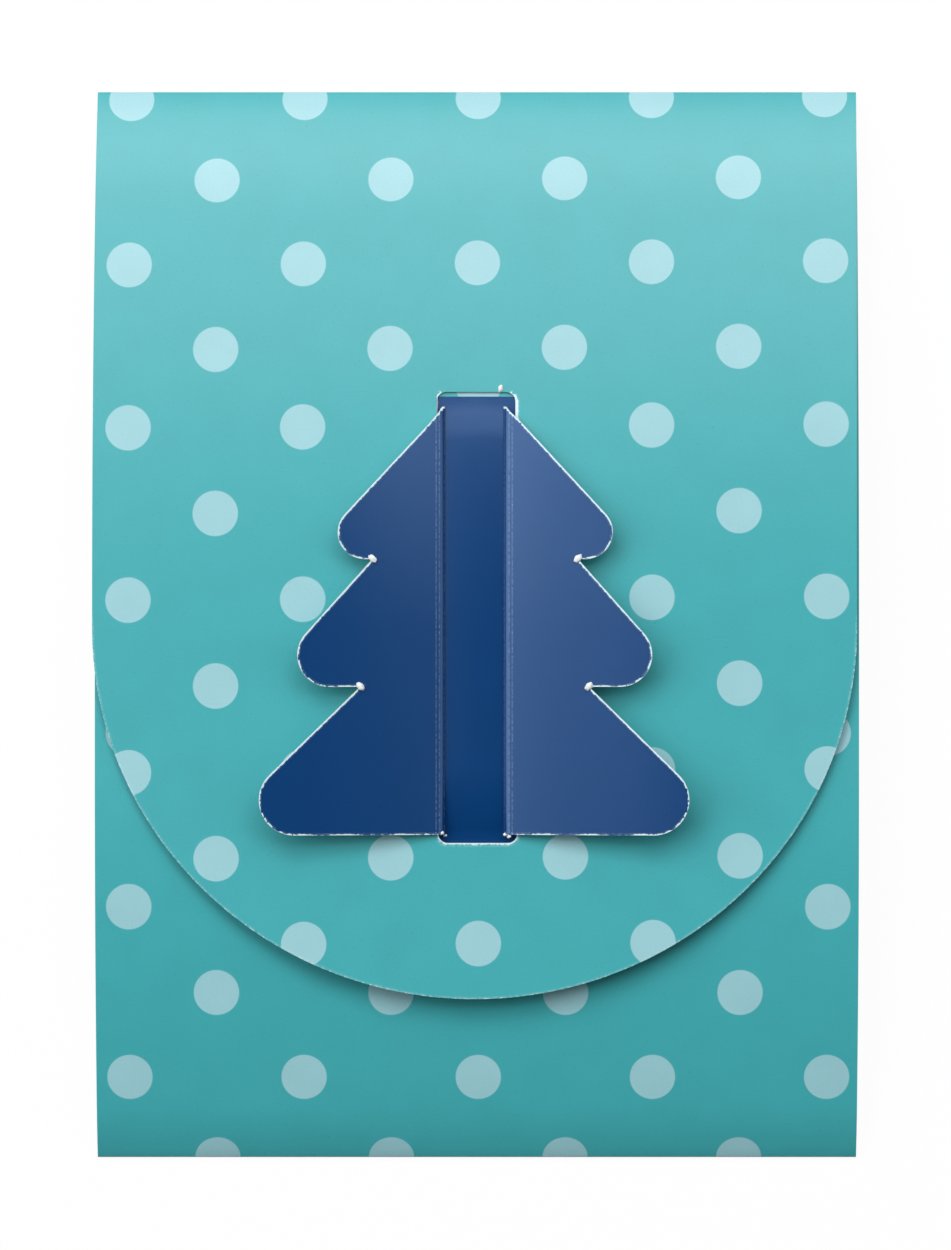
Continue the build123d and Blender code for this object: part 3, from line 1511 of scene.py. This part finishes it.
class Recipe:
    """A material under construction, node by node."""

    def __init__(self, name: str) -> None:
        """Start a material of one shader.

        Args:
            name: name of the material.
        """
        self.material = bpy.data.materials.new(name)
        self.material.use_nodes = True
        self.tree = self.material.node_tree
        self.tree.nodes.clear()
        self.shader = self.tree.nodes.new("ShaderNodeBsdfPrincipled")
        self.output = self.tree.nodes.new("ShaderNodeOutputMaterial")
        self.tree.links.new(self.shader.outputs[0], self.output.inputs["Surface"])

    def feed(self, socket: Socket, value: object) -> None:
        """Set a socket, or link another one to it.

        Args:
            socket: the socket.
            value: its value, or the socket that gives it.
        """
        if isinstance(value, bpy.types.NodeSocket):
            self.tree.links.new(value, socket)
        else:
            socket.default_value = value

    def map_of(self, name: str) -> Socket:
        """Read one of the sheet's flat maps.

        Args:
            name: name of the map.

        Returns:
            The place on it.
        """
        node = self.tree.nodes.new("ShaderNodeUVMap")
        node.uv_map = name
        return node.outputs["UV"]

    def mark(self, name: str) -> Socket:
        """Read a number that the mesh carries at its points.

        Args:
            name: name of the number.

        Returns:
            The number, spread evenly between the points.
        """
        node = self.tree.nodes.new("ShaderNodeAttribute")
        node.attribute_name = name
        return node.outputs["Fac"]

    def sum_up(self, operation: str, *values: object) -> Socket:
        """Work out one number from others.

        Args:
            operation: what is done, in the math node's words.
            values: the numbers, or the sockets that give them.

        Returns:
            The result.
        """
        node = self.tree.nodes.new("ShaderNodeMath")
        node.operation = operation
        for socket, value in zip(node.inputs, values):
            self.feed(socket, value)
        return node.outputs[0]

    def apart(self, vector: Socket) -> tuple[Socket, Socket]:
        """Split a flat place into its two numbers.

        Args:
            vector: the place.

        Returns:
            The number across and the number along.
        """
        node = self.tree.nodes.new("ShaderNodeSeparateXYZ")
        self.feed(node.inputs[0], vector)
        return node.outputs[0], node.outputs[1]

    def ramp(self, value: Socket, span: tuple[float, float]) -> Socket:
        """Rise smoothly from 0 to 1.

        Args:
            value: the number that the rise follows.
            span: where it starts and where it ends.

        Returns:
            The share reached.
        """
        node = self.tree.nodes.new("ShaderNodeMapRange")
        node.interpolation_type = "SMOOTHSTEP"
        self.feed(node.inputs["Value"], value)
        node.inputs["From Min"].default_value, node.inputs["From Max"].default_value = span
        return node.outputs["Result"]

    def grain(self, place: Socket, scale: float, detail: float = 2.0, rough: float = 0.5) -> Socket:
        """Spread an even noise over the sheet, about 0.5 in the mean.

        Args:
            place: where on the sheet it is read.
            scale: how fine it is.
            detail: how many finer layers it has.
            rough: how strong those are.

        Returns:
            The noise.
        """
        node = self.tree.nodes.new("ShaderNodeTexNoise")
        self.feed(node.inputs["Vector"], place)
        node.inputs["Scale"].default_value = scale
        node.inputs["Detail"].default_value = detail
        node.inputs["Roughness"].default_value = rough
        return node.outputs["Fac"]

    def blend(self, share: object, first: object, second: object) -> Socket:
        """Mix two colours.

        Args:
            share: how much of the second there is.
            first: the first colour.
            second: the second colour.

        Returns:
            The mixed colour.
        """
        node = self.tree.nodes.new("ShaderNodeMix")
        node.data_type = "RGBA"
        self.feed(node.inputs["Factor"], share)
        self.feed(node.inputs["A"], first)
        self.feed(node.inputs["B"], second)
        return node.outputs["Result"]

    def shaded(self, colour: object, factor: Socket) -> Socket:
        """Make a colour darker or lighter.

        Args:
            colour: the colour.
            factor: what each channel is multiplied by.

        Returns:
            The new colour.
        """
        node = self.tree.nodes.new("ShaderNodeVectorMath")
        node.operation = "SCALE"
        self.feed(node.inputs[0], colour)
        self.feed(node.inputs["Scale"], factor)
        return node.outputs[0]

    def emboss(self, height: Socket, depth: float) -> None:
        """Raise the surface by a height field.

        Args:
            height: the field, from 0 to 1.
            depth: how deep it is, in metres.
        """
        node = self.tree.nodes.new("ShaderNodeBump")
        node.inputs["Strength"].default_value = 1.0
        node.inputs["Distance"].default_value = depth
        self.feed(node.inputs["Height"], height)
        self.feed(self.shader.inputs["Normal"], node.outputs["Normal"])


@dataclass(frozen=True)
class PrintedFinish:
    """Satin board printed with one flat colour, with or without dots.

    Attributes:
        name: name of the material.
        ground: the printed colour.
        dot: colour of the dots, if it has any.
        dot_radius: radius of a dot, in millimetres.
        dot_blur: how soft the dot's edge is, each way.
        column: distance between columns of dots.
        row: distance between rows of dots.
        core: colour of the board where the ink is gone.
        roughness: how spread the sheen is.
        roughness_spread: how much that varies with the grain.
        grain_scale: how fine the paper's grain is, in grains to the millimetre.
        grain_depth: depth of the grain, in metres.
        cloud_scale: how fine the clouds in the ink are.
        mottle: how uneven the ink is, as a share of its colour.
        tear_scale: how fine the ragged edge of the worn ink is.
        tear_spread: how far that edge strays.
        bare_span: wear at which the first and the last of the ink goes.
        rub_span: wear between which the ink comes to look rubbed.
        fleck_span: what part of a rubbed line shows flecks.
        scuff: how much of the core shows through a fleck.
        gloss: how strong the sheen is, where 0.5 is plain varnish.
        gloss_tint: colour that the ink gives to its sheen.
    """

    name: str
    ground: Colour
    dot: Optional[Colour] = None
    dot_radius: float = 2.97
    dot_blur: float = 0.07
    column: float = 11.42
    row: float = 11.25
    core: Colour = ink(208, 230, 235)
    roughness: float = 0.3
    roughness_spread: float = 0.16
    grain_scale: float = 3.2
    grain_depth: float = 0.000008
    cloud_scale: float = 0.16
    mottle: float = 0.1
    tear_scale: float = 2.4
    tear_spread: float = 0.9
    bare_span: tuple[float, float] = (0.36, 0.5)
    rub_span: tuple[float, float] = (0.02, 0.2)
    fleck_span: tuple[float, float] = (0.38, 0.56)
    scuff: float = 0.16
    gloss: float = 0.5
    gloss_tint: Colour = WHITE

    def material(self) -> bpy.types.Material:
        """Make the material.

        Returns:
            The material.
        """
        recipe = Recipe(self.name)
        shader = recipe.shader.inputs
        sheet = recipe.map_of("sheet")
        fine = recipe.grain(sheet, self.grain_scale, detail=3.0, rough=0.65)
        cloudy = recipe.grain(sheet, self.cloud_scale)
        colour: object = self.ground[:3]
        if self.dot:
            colour = recipe.blend(self.dot_share(recipe), self.ground, self.dot)
        uneven = recipe.sum_up("ADD", fine, cloudy)
        shade = recipe.sum_up("MULTIPLY_ADD", uneven, self.mottle, 1 - self.mottle)
        inked = recipe.shaded(colour, shade)
        recipe.feed(shader["Base Color"], recipe.blend(self.bare(recipe), inked, self.core))
        dullest = self.roughness - self.roughness_spread / 2
        spread = recipe.sum_up("MULTIPLY_ADD", fine, self.roughness_spread, dullest)
        recipe.feed(shader["Roughness"], spread)
        shader["Specular IOR Level"].default_value = self.gloss
        shader["Specular Tint"].default_value = self.gloss_tint
        recipe.emboss(fine, self.grain_depth)
        return recipe.material

    def bare(self, recipe: Recipe) -> Socket:
        """Find how much of the board shows through the ink.

        Args:
            recipe: the material.

        Returns:
            1 where the ink is gone, a little where it is rubbed, and 0 elsewhere.
        """
        ragged = recipe.grain(recipe.map_of("sheet"), self.tear_scale, detail=4.0, rough=0.7)
        # The wear mark also carries painted light along the wings' edges: whiter facing up the
        # card, less white facing down.
        wear = recipe.mark("wear")
        stray = recipe.sum_up("SUBTRACT", ragged, 0.5)
        worn = recipe.sum_up("MULTIPLY_ADD", stray, self.tear_spread, wear)
        flecks = recipe.sum_up("MULTIPLY", recipe.ramp(ragged, self.fleck_span), self.scuff)
        scuffed = recipe.sum_up("MULTIPLY", recipe.ramp(wear, self.rub_span), flecks)
        return recipe.sum_up("MAXIMUM", recipe.ramp(worn, self.bare_span), scuffed)

    def dot_share(self, recipe: Recipe) -> Socket:
        """Find where the dots are, one on every second crossing of columns and rows.

        Args:
            recipe: the material.

        Returns:
            1 inside a dot and 0 outside.
        """
        s, t = recipe.apart(recipe.map_of("dots"))
        nearest = []
        for operation in ("ADD", "SUBTRACT"):
            diagonal = recipe.sum_up("MULTIPLY", recipe.sum_up(operation, s, t), 0.5)
            whole = recipe.sum_up("ROUND", diagonal)
            nearest.append(recipe.sum_up("SUBTRACT", diagonal, whole))
        across = recipe.sum_up("MULTIPLY", recipe.sum_up("ADD", *nearest), self.column)
        along = recipe.sum_up("MULTIPLY", recipe.sum_up("SUBTRACT", *nearest), self.row)
        squared = recipe.sum_up("MULTIPLY", across, across)
        reach = recipe.sum_up("SQRT", recipe.sum_up("MULTIPLY_ADD", along, along, squared))
        radius, blur = self.dot_radius, self.dot_blur
        return recipe.ramp(reach, (radius + blur, radius - blur))


@dataclass(frozen=True)
class BoardFinish:
    """Bare board: the sheet's inner side, its cut edges and its torn fibres.

    Attributes:
        name: name of the material.
        colour: the board's own colour.
        shadow: how dark the hollows of its grain are, as a share of its colour.
        roughness: how dull it is.
        scale: how fine its grain is, in grains to the metre.
        depth: depth of its grain, in metres.
    """

    name: str
    colour: Colour
    shadow: float = 0.9
    roughness: float = 0.8
    scale: float = 2500.0
    depth: float = 0.00003

    def material(self) -> bpy.types.Material:
        """Make the material.

        Returns:
            The material.
        """
        recipe = Recipe(self.name)
        place = recipe.tree.nodes.new("ShaderNodeTexCoord").outputs["Object"]
        grain = recipe.grain(place, self.scale, detail=3.0, rough=0.6)
        hollow = tuple(self.shadow * part for part in self.colour[:3]) + (1.0,)
        recipe.feed(recipe.shader.inputs["Base Color"], recipe.blend(grain, hollow, self.colour))
        recipe.shader.inputs["Roughness"].default_value = self.roughness
        recipe.emboss(grain, self.depth)
        return recipe.material


def white_to_camera(
    tree: bpy.types.NodeTree, look: Socket, kind: str, end: Socket, share: float = 1.0
) -> None:
    """Show plain white to the camera, where all else meets a look of its own.

    Args:
        tree: the nodes of the look.
        look: the look.
        kind: kind of node that gives the white.
        end: where the mixture goes.
        share: how much of what the camera sees is white.
    """
    white = tree.nodes.new(kind)
    white.inputs["Color"].default_value = WHITE
    path = tree.nodes.new("ShaderNodeLightPath")
    seen = tree.nodes.new("ShaderNodeMath")
    seen.operation = "MULTIPLY"
    seen.inputs[1].default_value = share
    mixed = tree.nodes.new("ShaderNodeMixShader")
    for source, socket in (
        (path.outputs["Is Camera Ray"], seen.inputs[0]),
        (seen.outputs[0], mixed.inputs[0]),
        (look, mixed.inputs[1]),
        (white.outputs[0], mixed.inputs[2]),
        (mixed.outputs[0], end),
    ):
        tree.links.new(source, socket)


# ---------------------------------------------------------------- table, lamps and camera


@dataclass(frozen=True)
class Lamp:
    """A soft box, aimed at the card.

    Attributes:
        name: its name.
        lean_x: how far it stands to the right of straight above, in degrees.
        lean_y: how far it stands towards the card's top, in degrees.
        width: its width, in metres.
        height: its height, in metres.
        glow: brightness of its face, where 1 is white paper in plain light.
        distance: how far it stands from the card, in metres.
    """

    name: str
    lean_x: float
    lean_y: float
    width: float
    height: float
    glow: float
    distance: float = 1.2

    def light(self) -> bpy.types.Object:
        """Hang the lamp and aim it.

        Returns:
            The lamp.
        """
        data = bpy.data.lights.new(self.name, "AREA")
        data.shape = "RECTANGLE"
        data.size = self.width
        data.size_y = self.height
        data.energy = self.glow * pi * self.width * self.height
        lamp = bpy.data.objects.new(self.name, data)
        direction = Vector((tan(radians(self.lean_x)), tan(radians(self.lean_y)), 1.0))
        lamp.location = direction.normalized() * self.distance
        lamp.rotation_euler = direction.to_track_quat("Z", "Y").to_euler()
        return put(lamp)


@dataclass(frozen=True)
class Studio:
    """The white table, the lamps, and the camera straight above the card.

    Attributes:
        distance: height of the camera over the table, in metres.
        view_height: height of the table that the picture takes in, in metres.
        camera_x: how far the camera stands to the right of the card's middle.
        camera_y: how far it stands above the card's middle.
        sensor: height of the camera's sensor, in millimetres.
        nearest: distance at which the camera starts to see, in metres.
        world_light: strength of the even light from all round.
        table_reach: how far the table reaches from its middle, in metres.
        table_cells: how many cells it has each way.
        table_gap: gap between the card and the table, in millimetres.
        table_colour: the table's own colour.
        table_roughness: how dull the table is.
        white_share: how much of the table's look is plain white to the camera.
        lamps: the lamps.
    """

    distance: float = 1.0
    view_height: float = 0.16501
    camera_x: float = -0.000185
    camera_y: float = -0.00005
    sensor: float = 24.0
    nearest: float = 0.01
    world_light: float = 0.02
    table_reach: float = 2.0
    table_cells: int = 8
    table_gap: float = 0.02
    table_colour: Colour = (0.86, 0.86, 0.86, 1.0)
    table_roughness: float = 0.9
    white_share: float = 0.95
    lamps: tuple[Lamp, ...] = (
        Lamp("top_box", 0.0, 38.0, 1.2, 0.4, glow=4.1),
        Lamp("top_strip", 0.0, 20.0, 1.2, 0.25, glow=2.9),
        Lamp("corner_box", -35.0, 40.0, 0.8, 0.4, glow=2.6),
        Lamp("window", 0.0, 58.0, 1.5, 0.5, glow=0.8),
        Lamp("left_box", -52.0, 10.0, 0.8, 1.0, glow=3.1),
        Lamp("left_strip", -23.0, 7.0, 0.35, 0.6, glow=1.5),
        Lamp("right_box", 57.0, 15.0, 0.7, 1.0, glow=1.5),
        Lamp("right_spot", 26.0, 18.0, 0.5, 0.42, glow=1.4),
    )

    def table(self) -> bpy.types.Object:
        """Lay the white table that the card rests on.

        Returns:
            The table.
        """
        bm = bmesh.new()
        cells = self.table_cells
        bmesh.ops.create_grid(bm, x_segments=cells, y_segments=cells, size=self.table_reach)
        table = as_piece(bm, "table")
        table.location.z = -self.table_gap * MM
        recipe = Recipe("white_table")
        recipe.shader.inputs["Base Color"].default_value = self.table_colour
        recipe.shader.inputs["Roughness"].default_value = self.table_roughness
        white_to_camera(
            recipe.tree,
            recipe.shader.outputs[0],
            "ShaderNodeEmission",
            recipe.output.inputs["Surface"],
            self.white_share,
        )
        table.data.materials.append(recipe.material)
        return table

    def surroundings(self) -> None:
        """Fill the room with an even light, white to the camera."""
        world = bpy.data.worlds.new("room")
        world.use_nodes = True
        tree = world.node_tree
        tree.nodes.clear()
        room = tree.nodes.new("ShaderNodeBackground")
        room.inputs["Strength"].default_value = self.world_light
        end = tree.nodes.new("ShaderNodeOutputWorld").inputs["Surface"]
        white_to_camera(tree, room.outputs[0], "ShaderNodeBackground", end)
        bpy.context.scene.world = world

    def camera(self) -> bpy.types.Object:
        """Hang the camera straight above the card.

        Returns:
            The camera.
        """
        data = bpy.data.cameras.new("camera")
        data.sensor_fit = "VERTICAL"
        data.sensor_height = self.sensor
        data.lens = self.sensor * self.distance / self.view_height
        data.clip_start = self.nearest
        camera = put(bpy.data.objects.new("camera", data))
        camera.location = (self.camera_x, self.camera_y, self.distance)
        bpy.context.scene.camera = camera
        return camera


def own(piece: bpy.types.Object) -> bpy.types.Object:
    """Let a piece ride with the card, as part of the folded sheet.

    Args:
        piece: the piece.

    Returns:
        The same piece.
    """
    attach(piece, "root")
    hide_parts(NODE)
    log.info("%s: %d faces", piece.name, len(piece.data.polygons))
    return piece


def main() -> None:
    """Build the card, its table, its light and the camera."""
    logging.basicConfig(level=logging.INFO, format="%(name)s: %(message)s")
    form = CardForm()
    tree = TreeCut()
    core = BoardFinish("cut_core", ink(230, 234, 236)).material()
    finishes = {
        Face.DOTTED: PrintedFinish(
            "dotted_print", ground=ink(64, 165, 171), dot=ink(150, 198, 206)
        ).material(),
        Face.BLUE: PrintedFinish(
            "blue_print",
            ground=ink(5, 56, 109),
            roughness=0.24,
            scuff=0.1,
            gloss=0.8,
            gloss_tint=(0.45, 0.65, 1.0, 1.0),
        ).material(),
        Face.INSIDE: BoardFinish("bare_inside", ink(228, 231, 230)).material(),
        Face.CORE: core,
    }
    sheet = CardSheet(form, tree)
    folded = sheet.build()
    sheet.dress(folded, finishes)
    own(folded)
    torn = TornNicks(form, tree, sheet).build()
    torn.data.materials.append(core)
    own(torn)

    studio = Studio()
    studio.table()
    studio.surroundings()
    for lamp in studio.lamps:
        lamp.light()
    studio.camera()
    bpy.context.scene.view_settings.view_transform = "Standard"


if __name__ == "__main__":
    main()
